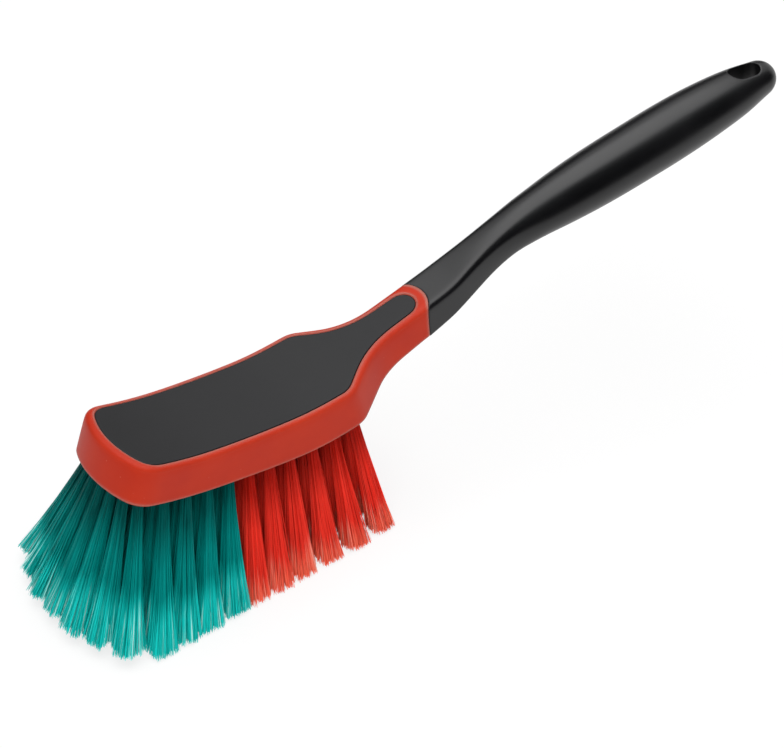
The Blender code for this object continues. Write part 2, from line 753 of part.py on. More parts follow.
def make_socket(head, parent):
    """Cutter for the slot that the handle's tang runs through."""
    mesh = bmesh.new()
    ends = (-TANG_LENGTH - SEAT_GAP, JOINT_BULGE + CUT_OVERRUN)
    loops = [tang_loop(head, t, SEAT_GAP) for t in ends]
    for ring in join_loops(mesh, loops):
        mesh.faces.new(ring)
    return make_cutter("tang_socket", mesh, parent)


def centre_on_origin(parent):
    """Shifts the whole part so that the middle of its length is over the origin."""
    places = [v.co.x for o in parent.children for v in o.data.vertices if not o.hide_render]
    places += [v.co.x for o in parent.children for v in o.data.vertices
               if o.name.endswith("_strands")]
    parent.location.x = -(min(places) + max(places)) / 2


def build():
    clear_scene()
    black = make_material("black_moulding", (0.014, 0.014, 0.015), 0.38)
    panel_black = make_material("panel_black", (0.035, 0.036, 0.038), 0.6)
    core_black = make_material("block_black", (0.012, 0.012, 0.012), 0.5)
    red_rubber = make_material("red_bumper", (0.50, 0.050, 0.026), 0.45)
    green = make_material("green_filament", (0.0, 0.26, 0.24), 0.5)
    red = make_material("red_filament", (0.60, 0.035, 0.022), 0.5)
    brush = bpy.data.objects.new("hand_brush", None)
    bpy.context.scene.collection.objects.link(brush)
    head = head_spine()
    socket = make_socket(head, brush)
    add_boolean(make_bumper(head, red_rubber, brush), socket)
    make_panel(head, panel_black, brush)
    add_boolean(make_block(head, core_black, brush), socket)
    for name, start, end, tufts in tuft_places():
        finish = green if name.startswith("green") else red
        make_row(head, name, start, end, tufts, finish, brush)
    make_handle(head, black, brush)
    bpy.context.view_layer.update()
    centre_on_origin(brush)


build()
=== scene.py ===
# %% [markdown]
# # A vehicle wash hand brush, dressed for its photograph
#
# The solid model of the brush is already finished: a handle, a curved head with a soft
# bumper, a matt panel, and eleven rows of bristles that are still coarse stand-ins.
# This lesson gives the hard parts smooth skins and real finishes, and replaces the rows
# of bristles by about twenty thousand thin filaments with split tips.

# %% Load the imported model
import math

import bpy
import numpy as np
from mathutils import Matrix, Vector


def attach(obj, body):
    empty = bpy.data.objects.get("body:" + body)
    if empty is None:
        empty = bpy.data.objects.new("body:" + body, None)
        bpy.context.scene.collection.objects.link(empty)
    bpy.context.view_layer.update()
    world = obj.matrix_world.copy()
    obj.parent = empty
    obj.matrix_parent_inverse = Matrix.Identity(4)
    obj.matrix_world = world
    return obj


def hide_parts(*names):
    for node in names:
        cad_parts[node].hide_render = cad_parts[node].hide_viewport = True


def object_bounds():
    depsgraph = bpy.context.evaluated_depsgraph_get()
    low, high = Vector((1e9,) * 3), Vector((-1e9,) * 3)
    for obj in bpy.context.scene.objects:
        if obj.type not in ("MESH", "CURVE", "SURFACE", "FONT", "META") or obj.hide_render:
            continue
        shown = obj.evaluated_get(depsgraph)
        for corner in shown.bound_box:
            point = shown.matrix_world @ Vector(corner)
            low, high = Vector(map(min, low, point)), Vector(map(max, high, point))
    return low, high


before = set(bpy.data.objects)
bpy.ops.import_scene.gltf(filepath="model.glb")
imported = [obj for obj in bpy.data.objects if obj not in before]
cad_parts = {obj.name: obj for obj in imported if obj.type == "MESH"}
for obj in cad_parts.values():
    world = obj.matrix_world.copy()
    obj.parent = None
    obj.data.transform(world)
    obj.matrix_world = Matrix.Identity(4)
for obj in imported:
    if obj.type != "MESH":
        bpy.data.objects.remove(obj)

MM = 0.001
cad_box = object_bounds()
print("solid model:", [round(v / MM, 1) for corner in cad_box for v in corner], "mm")

# %% [markdown]
# ## Colours
#
# A colour picked from a screen is a hex value in sRGB, but shaders count in linear
# light, so one function converts it, by the formula of the sRGB standard.

# %% From hex to linear light
SRGB_KNEE = 0.04045
SRGB_SLOPE = 12.92
SRGB_OFFSET = 0.055
SRGB_POWER = 2.4


def linear(hex_colour):
    """An sRGB hex colour as linear red, green, blue and alpha."""
    values = [int(hex_colour[i:i + 2], 16) / 255 for i in (0, 2, 4)]
    values = [v / SRGB_SLOPE if v <= SRGB_KNEE
              else ((v + SRGB_OFFSET) / (1 + SRGB_OFFSET)) ** SRGB_POWER for v in values]
    return (*values, 1.0)


WHITE = linear("ffffff")
BLACK = linear("000000")
print("white is", WHITE)

# %% [markdown]
# ## Helpers for materials
#
# Every material is a small graph of nodes, so one function adds a node of any kind, sets
# its values, lays the stops of a colour ramp, and links what feeds it. The others start
# a material, link what feeds its shader, and turn the real size of a pattern's cell into
# the scale that a texture node asks for. A Mix node has an output for each kind of value
# that it can mix, and a mixed colour comes out of the third, which is number 2.

# %% Add nodes and link them
MIXED_COLOUR = 2
NEW_STOP_AT = 0.5


def add(material, kind, inputs=None, stops=(), **settings):
    """Adds a node. An input is a value, or a (node, output) pair to link from, and a
    stop of a colour ramp is a (place, hex colour) pair."""
    tree = material.node_tree
    node = tree.nodes.new("ShaderNode" + kind)
    for name, value in settings.items():
        setattr(node, name, value)
    for name, value in (inputs or {}).items():
        if isinstance(value, tuple) and isinstance(value[0], bpy.types.Node):
            tree.links.new(value[0].outputs[value[1]], node.inputs[name])
        else:
            node.inputs[name].default_value = value
    if stops:
        band = node.color_ramp.elements
        while len(band) < len(stops):
            band.new(NEW_STOP_AT)
        for element, (place, colour) in zip(band, stops):
            element.position = place
            element.color = linear(colour)
    return node


def new_material(name, inputs):
    """A material with its Principled shader, whose inputs are set to these values."""
    material = bpy.data.materials.new(name)
    material.use_nodes = True
    shader = material.node_tree.nodes["Principled BSDF"]
    for socket, value in inputs.items():
        shader.inputs[socket].default_value = value
    return material, shader


def feed(material, shader, **links):
    """Links (node, output) pairs to the shader's inputs."""
    for name, (node, output) in links.items():
        material.node_tree.links.new(node.outputs[output], shader.inputs[name.replace("_", " ")])


def per_metre(size):
    """Texture scale at which one cell of a pattern has this size."""
    return 1 / size


print("material helpers ready")

# %% [markdown]
# ## Rounded edges, with a painted highlight along them
#
# No moulding has a truly sharp edge. The Bevel node gives normals as if each edge were
# rounded. Where these turn away from the true normals there is an edge, so comparing the
# two also gives a mask along the edges, where a paler colour is painted in: a painted
# highlight for the rounded edges catching the light. Their dot product is the cosine of
# the angle between them: 0.997 is about 4 degrees, where the mask starts, and 0.94 about
# 20 degrees, where it is full. Cutting the roundings into the mesh would work too, but
# takes far more faces.

# %% Rounded edges and a mask for the painted edge highlight
BEVEL_SAMPLES = 8
EDGE_STARTS = 0.997
EDGE_FULL = 0.94


def soft_edges(material, radius):
    """Normals rounded over the sharp edges, and a mask that is one along those edges, for a
    painted highlight.
    """
    rounded = add(material, "Bevel", {"Radius": radius}, samples=BEVEL_SAMPLES)
    surface = add(material, "NewGeometry")
    agree = add(material, "VectorMath", {0: (rounded, "Normal"), 1: (surface, "Normal")},
                operation="DOT_PRODUCT")
    # The mask marks where a paler colour is painted in as a painted highlight on the edges.
    highlight_mask = add(material, "MapRange", {"Value": (agree, "Value"), "From Min": EDGE_STARTS,
                                      "From Max": EDGE_FULL})
    return rounded, highlight_mask


print("edge helper ready")

# %% [markdown]
# ## Handle: satin polypropylene
#
# The handle is one black polypropylene moulding. Polypropylene has an IOR of about 1.49.
# The mould was blasted, which leaves a grain of a few tenths of a millimetre: it spreads
# each highlight into the broad satin band on the grip. The real grain is too fine to see
# from here, so it only drives a slight bump, and slow changes in roughness stand for
# where the melt flowed and where hands have polished it. A noise stays mostly between
# 0.3 and 0.7, so colour and roughness are spread between those two. Along the edges, such
# as the lip of the hang hole, a paler colour is painted in: a painted highlight where the
# rounded edges catch the light. The core wears the same plastic, duller.

# %% Polypropylene for the handle and the core
POLYPROPYLENE_IOR = 1.49
NOISE_LOW = 0.3
NOISE_HIGH = 0.7
MELT_FLOW = 28 * MM
ROUGHNESS_SWING = 0.03
MOULDED_EDGE = 1.2 * MM


def moulded_plastic(name, dark, light, edge_highlight, roughness, grain, depth):
    """A moulded plastic: two close colours, a painted highlight along the edges, a wandering
    roughness, and grain.
    """
    material, shader = new_material(name, {"IOR": POLYPROPYLENE_IOR, "Specular IOR Level": 0.44})
    place = add(material, "TexCoord")
    flow = add(material, "TexNoise", {"Vector": (place, "Object"), "Scale": per_metre(MELT_FLOW),
                                      "Detail": 3.0, "Roughness": 0.55})
    colour = add(material, "ValToRGB", {"Fac": (flow, "Fac")},
                 stops=[(NOISE_LOW, dark), (NOISE_HIGH, light)])
    rough = add(material, "MapRange", {"Value": (flow, "Fac"),
                                       "From Min": NOISE_LOW, "From Max": NOISE_HIGH,
                                       "To Min": roughness - ROUGHNESS_SWING,
                                       "To Max": roughness + ROUGHNESS_SWING})
    skin = add(material, "TexNoise", {"Vector": (place, "Object"), "Scale": per_metre(grain),
                                      "Detail": 2.0, "Roughness": 0.6})
    # Painted highlight: the edges get a paler colour, for rounded edges catching the light.
    rounded, edge = soft_edges(material, MOULDED_EDGE)
    with_edge_highlight = add(material, "Mix", {"Factor": (edge, "Result"), "A": (colour, "Color"),
                                   "B": linear(edge_highlight)}, data_type="RGBA")
    bump = add(material, "Bump", {"Height": (skin, "Fac"), "Strength": 0.35, "Distance": depth,
                                  "Normal": (rounded, "Normal")})
    feed(material, shader, Base_Color=(with_edge_highlight, MIXED_COLOUR), Roughness=(rough, "Result"),
         Normal=(bump, "Normal"))
    return material


# The third colour of each is the painted highlight along the edges.
satin_polypropylene = moulded_plastic("satin_polypropylene", "09090b", "0e0e10", "222224",
                                      roughness=0.34, grain=0.45 * MM, depth=0.02 * MM)
core_polypropylene = moulded_plastic("core_polypropylene", "0d0d0e", "131315", "1a1a1c",
                                     roughness=0.55, grain=0.6 * MM, depth=0.03 * MM)
print("made", satin_polypropylene.name, "and", core_polypropylene.name)

# %% [markdown]
# ## Panel: spark-eroded polypropylene
#
# The flat panel on top is duller than the handle. Its mould was spark-eroded, which
# leaves overlapping tiny craters: a Voronoi pattern gives them, under a second noise that
# breaks up their evenness. The craters are drawn at 0.5 mm, about twice their real size,
# so that they still show as a faint grain.

# %% Panel material
CRATER = 0.5 * MM
CRATER_DEPTH = 0.03 * MM
BLOTCH = 9 * MM


def eroded_plastic():
    """The panel's plastic: cratered, with slow blotches in its colour and roughness."""
    material, shader = new_material("eroded_polypropylene", {"IOR": POLYPROPYLENE_IOR,
                                                             "Specular IOR Level": 0.36})
    place = add(material, "TexCoord")
    craters = add(material, "TexVoronoi", {"Vector": (place, "Object"),
                                           "Scale": per_metre(CRATER)}, feature="SMOOTH_F1")
    blotch = add(material, "TexNoise", {"Vector": (place, "Object"),
                                        "Scale": per_metre(BLOTCH), "Detail": 4.0})
    colour = add(material, "ValToRGB", {"Fac": (blotch, "Fac")},
                 stops=[(NOISE_LOW, "101012"), (NOISE_HIGH, "151517")])
    rough = add(material, "MapRange", {"Value": (blotch, "Fac"), "To Min": 0.50, "To Max": 0.62})
    bump = add(material, "Bump", {"Height": (craters, "Distance"), "Strength": 0.5,
                                  "Distance": CRATER_DEPTH})
    feed(material, shader, Base_Color=(colour, "Color"), Roughness=(rough, "Result"),
         Normal=(bump, "Normal"))
    return material


eroded_polypropylene = eroded_plastic()
print("made", eroded_polypropylene.name)

# %% [markdown]
# ## Bumper: thermoplastic elastomer
#
# The bumper is a soft red elastomer moulded round the head, so that the brush can't
# scratch paint. Elastomers are softer in sheen than hard plastic, with an IOR near 1.5
# and a roughness near one half. Fine dust and small moulding specks sit in the skin. A
# paler, greyer red is painted along the soft edges, a painted highlight where they catch
# the overhead light, which draws a thin line along each of them.

# %% Elastomer material
ELASTOMER_IOR = 1.5
CLOUD = 18 * MM
SPECK_SPACING = 6 * MM
SPECK_SHARE = 0.06
SKIN_GRAIN = 0.6 * MM
SKIN_DEPTH = 0.03 * MM
SOFT_EDGE = 3.0 * MM
# How much of the painted edge highlight is mixed into the red.
EDGE_HIGHLIGHT_SHARE = 0.75


def elastomer():
    """The bumper's rubber: clouded, finely specked, with a painted highlight along its edges."""
    material, shader = new_material("red_elastomer", {"IOR": ELASTOMER_IOR,
                                                      "Specular IOR Level": 0.2})
    place = add(material, "TexCoord")
    cloud = add(material, "TexNoise", {"Vector": (place, "Object"),
                                       "Scale": per_metre(CLOUD), "Detail": 3.0})
    colour = add(material, "ValToRGB", {"Fac": (cloud, "Fac")},
                 stops=[(NOISE_LOW, "ba2a10"), (NOISE_HIGH, "c23013")])
    specks = add(material, "TexVoronoi", {"Vector": (place, "Object"),
                                          "Scale": per_metre(SPECK_SPACING), "Randomness": 1.0})
    near = add(material, "MapRange", {"Value": (specks, "Distance"), "From Min": 0.0,
                                      "From Max": SPECK_SHARE, "To Min": 0.6, "To Max": 0.0})
    speckled = add(material, "Mix", {"Factor": (near, "Result"), "A": (colour, "Color"),
                                     "B": linear("e08a78")}, data_type="RGBA")
    rough = add(material, "MapRange", {"Value": (cloud, "Fac"), "To Min": 0.42, "To Max": 0.54})
    skin = add(material, "TexNoise", {"Vector": (place, "Object"),
                                      "Scale": per_metre(SKIN_GRAIN), "Detail": 2.0})
    # Painted highlight: a paler, greyer red along the soft edges, where they catch the light.
    rounded, edge = soft_edges(material, SOFT_EDGE)
    edge_highlight_share = add(material, "Math", {0: (edge, "Result"), 1: EDGE_HIGHLIGHT_SHARE}, operation="MULTIPLY")
    with_painted_highlight = add(material, "Mix", {"Factor": (edge_highlight_share, 0), "A": (speckled, MIXED_COLOUR),
                                    "B": linear("b88276")}, data_type="RGBA")
    bump = add(material, "Bump", {"Height": (skin, "Fac"), "Strength": 0.3,
                                  "Distance": SKIN_DEPTH, "Normal": (rounded, "Normal")})
    feed(material, shader, Base_Color=(with_painted_highlight, MIXED_COLOUR), Roughness=(rough, "Result"),
         Normal=(bump, "Normal"))
    return material


red_elastomer = elastomer()
print("made", red_elastomer.name)

# %% [markdown]
# ## Filaments: polyester, split at the tips
#
# Wash brushes use extruded polyester filament about 0.3 mm thick whose last centimetre
# is split into finer hairs. Split hairs scatter light, so the tips are paler than the
# shafts, and their colour is raised further as painted light, for the glow of light
# through the translucent tips. Down between the tufts little light comes back out, and
# that shade is painted into the roots as a darker colour. Each filament carries two
# numbers in its mesh: how far along it a point lies, which drives the ramp from root to
# tip, and a random lot number. Low lots are a little darker, and the highest ones are
# well split and get pale streaks near the tips, painted highlights for the glints of
# the split hairs.

# %% Filament materials
POLYESTER_IOR = 1.57
ROOT_SHADE_ENDS = 0.18
SHAFT_STARTS = 0.45
PALING = 0.16


def filament(name, root, shaft, tip, shadow, split, pales_from):
    """A bristle's polyester: painted shade at the root, shaft, a tip raised with painted light,
    dark lots, and painted glint streaks.
    """
    material, shader = new_material(name, {"IOR": POLYESTER_IOR, "Specular IOR Level": 0.05})
    along = add(material, "Attribute", attribute_name="along")
    lot = add(material, "Attribute", attribute_name="lot")
    # The root colour is painted shade, and the tip colour also paints the glow of light through
    # the tips.
    colour = add(material, "ValToRGB", {"Fac": (along, "Fac")},
                 stops=[(ROOT_SHADE_ENDS, root), (SHAFT_STARTS, shaft), (pales_from, shaft),
                        (pales_from + PALING, tip)])
    shade = add(material, "MapRange", {"Value": (lot, "Fac"), "From Max": 0.7, "To Min": 0.35,
                                       "To Max": 0.0})
    varied = add(material, "Mix", {"Factor": (shade, "Result"), "A": (colour, "Color"),
                                   "B": linear(shadow)}, data_type="RGBA")
    # Painted highlight: pale streaks near the tips of the highest lots, for glints on the split
    # hairs.
    frayed = add(material, "MapRange", {"Value": (along, "Fac"), "From Min": 0.70,
                                        "From Max": 0.86})
    pale = add(material, "MapRange", {"Value": (lot, "Fac"), "From Min": 0.8,
                                      "From Max": 1.0})
    painted_glint = add(material, "Math", {0: (frayed, "Result"), 1: (pale, "Result")},
                 operation="MULTIPLY")
    with_glints = add(material, "Mix", {"Factor": (painted_glint, 0), "A": (varied, MIXED_COLOUR),
                                     "B": linear(split)}, data_type="RGBA")
    rough = add(material, "MapRange", {"Value": (along, "Fac"), "From Min": 0.6,
                                       "To Min": 0.34, "To Max": 0.6})
    feed(material, shader, Base_Color=(with_glints, MIXED_COLOUR), Roughness=(rough, "Result"))
    return material


# Colours: painted root shade, shaft, tip raised with painted light, dark lots, painted glint.
green_polyester = filament("green_polyester", "005450", "00928c", "18d8d0", "007e7a",
                           "d0fffa", pales_from=0.62)
red_polyester = filament("red_polyester", "b01c12", "f23a2c", "ff7258", "e0281a",
                         "ffa490", pales_from=0.76)
print("made", green_polyester.name, "and", red_polyester.name)

# %% [markdown]
# ## Dressing the hard parts
#
# The handle, panel, core and bumper have the right shape already, so each just takes its
# finish in place of the plain one. The core stays as it is from here on, because only
# slivers of it show. The other three get smoother skins below, which inherit the finish.

# %% Dress the hard parts
CARRIED = {"handle": satin_polypropylene, "top_panel": eroded_polypropylene,
           "brush_block": core_polypropylene, "bumper": red_elastomer}
for node, finish in CARRIED.items():
    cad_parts[node].data.materials.clear()
    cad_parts[node].data.materials.append(finish)
    print(node, "wears", finish.name)

# %% [markdown]
# ## Working in edit mode from code
#
# An edit-mode operator acts on whatever is selected. So nothing may be selected by
# accident: everything is deselected first, and then vertices or faces are picked by
# their place.

# %% Selection helpers
def only(item):
    """Makes one object the selected and active one."""
    bpy.ops.object.select_all(action="DESELECT")
    item.select_set(True)
    bpy.context.view_layer.objects.active = item


def pick(item, kind, test):
    """Selects the vertices or faces that pass a test, counts them, and stays in edit mode."""
    bpy.ops.object.mode_set(mode="EDIT")
    bpy.ops.mesh.select_mode(type="VERT" if kind == "vertices" else "FACE")
    bpy.ops.mesh.select_all(action="DESELECT")
    bpy.ops.object.mode_set(mode="OBJECT")
    parts = item.data.vertices if kind == "vertices" else item.data.polygons
    chosen = [part for part in parts if test(part)]
    for part in chosen:
        part.select = True
    bpy.ops.object.mode_set(mode="EDIT")
    return len(chosen)


print("selection helpers ready")

# %% [markdown]
# ## Copies of the solids
#
# The shapes of the solids are never changed. What starts from one of them starts from a
# copy with a mesh of its own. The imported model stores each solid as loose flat
# triangles, so the copy is opened in edit mode and its doubled corners are merged.

# %% Copy a solid
MERGE = 0.002 * MM


def free_copy(node, name):
    """A copy of a solid with a mesh of its own, tied to nothing."""
    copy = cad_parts[node].copy()
    copy.data = copy.data.copy()
    copy.name = copy.data.name = name
    copy.hide_render = copy.hide_viewport = False
    for key in list(copy.keys()):
        del copy[key]
    copy.parent = None
    bpy.context.collection.objects.link(copy)
    return copy


def open_merged():
    """Opens the active object in edit mode and merges its doubled corners."""
    bpy.ops.object.mode_set(mode="EDIT")
    bpy.ops.mesh.select_all(action="SELECT")
    bpy.ops.mesh.remove_doubles(threshold=MERGE)


print("copies are ready to make")

# %% [markdown]
# ## Smooth skins for the handle, bumper and panel
#
# A satin surface shows every flat triangle as a stripe. So each moulding gets a skin: a
# merged copy whose triangles are paired up into quads again. One level of Subdivision
# Surface then rounds it, with the sharp edges creased so that they stay where they are,
# and it is shaded smooth wherever two faces meet at less than 35 degrees. Smooth shading
# alone would leave the outline of the grip a polygon.

# %% Make the skins
PAIR_ANGLE = math.radians(40)
PAIR_SKEW = math.radians(60)
SHARP_ANGLE = math.radians(35)


def skin(node, name, slot):
    """A merged, rounded and smoothly shaded copy that takes a solid's place."""
    copy = free_copy(node, name)
    only(copy)
    bpy.ops.mesh.customdata_custom_splitnormals_clear()
    open_merged()
    bpy.ops.mesh.tris_convert_to_quads(face_threshold=PAIR_ANGLE, shape_threshold=PAIR_SKEW)
    bpy.ops.mesh.select_mode(type="EDGE")
    bpy.ops.mesh.select_all(action="DESELECT")
    bpy.ops.mesh.edges_select_sharp(sharpness=SHARP_ANGLE)
    bpy.ops.transform.edge_crease(value=1)
    bpy.ops.object.mode_set(mode="OBJECT")
    finer = copy.modifiers.new("finer", "SUBSURF")
    finer.levels = finer.render_levels = 1
    bpy.ops.object.modifier_apply(modifier=finer.name)
    bpy.ops.object.shade_smooth_by_angle(angle=SHARP_ANGLE)
    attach(copy, "root")
    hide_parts(node)
    print(copy.name, "has", len(copy.data.polygons), "faces")
    return copy


skin("handle", "handle_moulding", "black_moulding")
skin("bumper", "bumper_moulding", "red_bumper")
panel = skin("top_panel", "panel_plate", "panel_black")

# %% [markdown]
# ## A panel nearly level with the rim
#
# The solid panel sits 0.6 mm below the bumper's rim, which leaves a clear step in the
# solid model. In the photograph the plate nearly fills its window, and only a thin line
# of the rim shows beyond it. So the upper faces of the skin, within 60 degrees of
# level, are fattened outwards along their normals, which keeps the plate's bend.

# %% Raise the panel's face
PANEL_RAISE = 0.5 * MM
FACES_UP = 0.5

only(panel)
raised = pick(panel, "vertices", lambda v: v.normal.z > FACES_UP)
bpy.ops.transform.shrink_fatten(value=PANEL_RAISE)
bpy.ops.object.mode_set(mode="OBJECT")
print(panel.name, raised, "points raised, top now at",
      round(max(v.co.z for v in panel.data.vertices) / MM, 2), "mm")

# %% [markdown]
# ## Where the tufts grow
#
# Each coarse row has six or seven tufts, and each tuft six long square strands. The
# strands' long edges run from the drilled face to the tips, so their upper and lower
# ends give each tuft's root and tip: the new tufts then grow exactly where the solid
# model has them. Ends are rounded to a micrometre, so that shared corners count once.

# %% Measure the roots and tips of the tufts
LONG_EDGE = 35 * MM
TUFT_GAP = 1.2 * MM
MICROMETRE_DIGITS = 6


def middle_of(ends):
    """The middle of one end of a tuft's strands."""
    return np.unique(np.round(ends, MICROMETRE_DIGITS), axis=0).mean(0)


def tuft_lines(node):
    """Root and tip of each tuft in a coarse row, from one side to the other."""
    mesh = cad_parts[node].data
    places = np.array([v.co for v in mesh.vertices])
    edges = np.array([e.vertices[:] for e in mesh.edges])
    a, b = places[edges[:, 0]], places[edges[:, 1]]
    steep = np.abs(a[:, 2] - b[:, 2]) > LONG_EDGE
    a, b = a[steep], b[steep]
    a_is_upper = (a[:, 2] > b[:, 2])[:, None]
    upper = np.where(a_is_upper, a, b)
    lower = np.where(a_is_upper, b, a)
    order = np.argsort(upper[:, 1])
    upper, lower = upper[order], lower[order]
    breaks = np.where(np.diff(upper[:, 1]) > TUFT_GAP)[0] + 1
    groups = zip(np.split(upper, breaks), np.split(lower, breaks))
    return [(middle_of(roots), middle_of(tips)) for roots, tips in groups]


rows = sorted(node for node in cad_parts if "_tufts_" in node)
tufts = {node: tuft_lines(node) for node in rows}
for node in rows:
    print(node, len(tufts[node]), "tufts, the first", np.round(tufts[node][0][0] / MM, 1),
          "to", np.round(tufts[node][0][1] / MM, 1))

# %% [markdown]
# ## One filament
#
# A filament is modelled once: a three-sided cone, cut into segments so that it can bend.
# With its tip it is one metre long, and each copy is later shortened to its real length.
# It is drawn a little thicker than the real 0.3 mm, so that fewer of them fill a tuft.
# Three sides are enough at this thickness, and they keep its faces few.

# %% Model the filament with operators
SIDES = 3
SHAFT_RADIUS = 0.17 * MM
TIP_RADIUS = 0.23 * MM
SPLIT_AT = 0.80
SEGMENT_CUTS = (0.3, 0.55, 0.72)
TOUCH = 1e-6
ENDWAYS = 0.9


def is_far_end(face):
    """Whether a face closes the far end of the filament, before its tip is split."""
    return face.center.z > SPLIT_AT - TOUCH and face.normal.z > ENDWAYS


bpy.ops.object.select_all(action="DESELECT")
bpy.ops.mesh.primitive_cone_add(vertices=SIDES, radius1=SHAFT_RADIUS, radius2=TIP_RADIUS,
                                depth=SPLIT_AT, location=(0, 0, SPLIT_AT / 2))
strand = bpy.context.object
strand.name = "filament"
bpy.ops.object.transform_apply(location=True)
bpy.ops.object.mode_set(mode="EDIT")
for height in SEGMENT_CUTS:
    bpy.ops.mesh.select_all(action="SELECT")
    bpy.ops.mesh.bisect(plane_co=(0, 0, height), plane_no=(0, 0, 1))
pick(strand, "faces", lambda f: f.center.z < TOUCH and abs(f.normal.z) > ENDWAYS)
bpy.ops.mesh.delete(type="FACE")
pick(strand, "faces", is_far_end)
bpy.ops.mesh.poke()
bpy.ops.object.mode_set(mode="OBJECT")
print(strand.name, len(strand.data.vertices), "vertices before its tip splits")

# %% [markdown]
# ## The split tip
#
# Factories split the tip by beating it with blades. Here poking has cut its end face
# into three facets. Each one is lifted by a thousandth of a millimetre, which gives it
# walls of its own, and is then drawn out into a hair, a little thinner and pushed
# outwards. That leaves the fine, spread hairs that make a wash brush gentle.

# %% Split the tip into three hairs
HAIR_SPREAD = 0.55 * MM
HAIR_SHARE = 0.8
LIFT = 0.001 * MM
LIFTED_SHARE = 0.8

pick(strand, "faces", is_far_end)
bpy.ops.mesh.extrude_faces_move(TRANSFORM_OT_shrink_fatten={"value": LIFT})
bpy.ops.object.mode_set(mode="OBJECT")
ends = [f.index for f in strand.data.polygons if f.center.z > SPLIT_AT + LIFTED_SHARE * LIFT]
for end in ends:
    middle = strand.data.polygons[end].center.copy()
    pick(strand, "faces", lambda f: f.index == end)
    bpy.ops.transform.resize(value=(HAIR_SHARE, HAIR_SHARE, 1), center_override=middle)
    outward = Vector((middle.x, middle.y, 0)).normalized() * HAIR_SPREAD
    bpy.ops.transform.translate(value=(*outward.xy, 1 - SPLIT_AT))
    bpy.ops.object.mode_set(mode="OBJECT")
print(strand.name, len(strand.data.vertices), "vertices,", len(strand.data.polygons), "faces")

# %% [markdown]
# ## A disc of filaments
#
# Cut across, a tuft is a disc packed evenly with filaments. The seeds of a sunflower
# show how to fill a disc: each one is turned by the golden angle from the last, and sits
# further out by the square root of its number. The loose locks that the tips gather into
# are spread over the same disc in the same way, only fewer.

# %% Fill a disc evenly
FULL_TURN = 2 * math.pi
GOLDEN_ANGLE = math.pi * (3 - math.sqrt(5))


def sunflower(count, turn):
    """Points spread evenly over a disc of radius one, turned by an angle or one angle each."""
    order = np.arange(count)
    angle = order * GOLDEN_ANGLE + turn
    out = np.sqrt((order + 0.5) / count)
    return np.stack([out * np.cos(angle), out * np.sin(angle)], 1)


print("the golden angle is", round(math.degrees(GOLDEN_ANGLE), 1), "degrees")

# %% [markdown]
# ## How a tuft opens
#
# Filaments leave the hole as a tight bundle and flare towards the tips, where they
# gather into locks and the disc grows a little square. Each one also bows a little in
# the middle and strays at its tip. What strays past the sides of the solid model is
# combed back in, so that the brush keeps its width, and nothing reaches below the floor.

# %% Flare, wander and comb
ROOT_DISC = 2.2 * MM
FLARE_POWER = 1.5
TIP_POWER = 2
GATHER = 0.14
SQUARENESS = 0.6
TINY = 1e-6
BOW = 0.4 * MM
STRAY = 0.5 * MM
COMBED_IN = 2.8 * MM


def flared(own, lock, along, flare):
    """Distance of each filament's points from its tuft's middle line, in x and y."""
    away = ROOT_DISC + (flare - ROOT_DISC) * along ** FLARE_POWER
    gather = (GATHER * along ** TIP_POWER)[:, :, None]
    places = own[:, None] * (1 - gather) + lock[:, None] * gather
    wide = np.abs(own).max(1) / np.maximum(np.linalg.norm(own, axis=1), TINY)
    square = wide[:, None] ** (-SQUARENESS * along)
    return places * square[:, :, None] * away[:, :, None]


def wander(along, chance):
    """How far each filament's points drift from their run, in x and y."""
    count = len(along)
    heading = chance.uniform(0, FULL_TURN, count)[:, None]
    bow = BOW * np.sin(math.pi * along) * chance.normal(0, 1, count)[:, None]
    stray = STRAY * along ** TIP_POWER * chance.normal(0, 1, count)[:, None]
    return (bow + stray) * np.cos(heading), (bow + stray) * np.sin(heading)


def comb(points):
    """Combs points back towards the sides of the solid model and up from the floor."""
    past = np.maximum(np.abs(points[:, :, 1]) - cad_box[1][1], 0.0)
    points[:, :, 1] += np.sign(points[:, :, 1]) * (COMBED_IN * np.tanh(past / COMBED_IN) - past)
    points[:, :, 2] = np.maximum(points[:, :, 2], 0.0)


print("a tuft starts", 2 * ROOT_DISC / MM, "mm wide")

# %% [markdown]
# ## From one filament to a tuft
#
# Copying by operator would take minutes for twenty thousand filaments, so the points of
# each copy are placed by arithmetic. Every copy is turned about its own axis and reaches
# nearly the full length. The filaments of a lock end almost together, and all of them
# turn pale at the same height, which differs a little from lock to lock.

# %% Place the filaments of one tuft
FILAMENTS = 300
LOCKS = 24
JITTER = 0.25
SHORTEST_LOCK = 0.975
SHORTEST_FILAMENT = 0.98
HOLE_DEPTH = 1.5 * MM
FRAY = 0.045


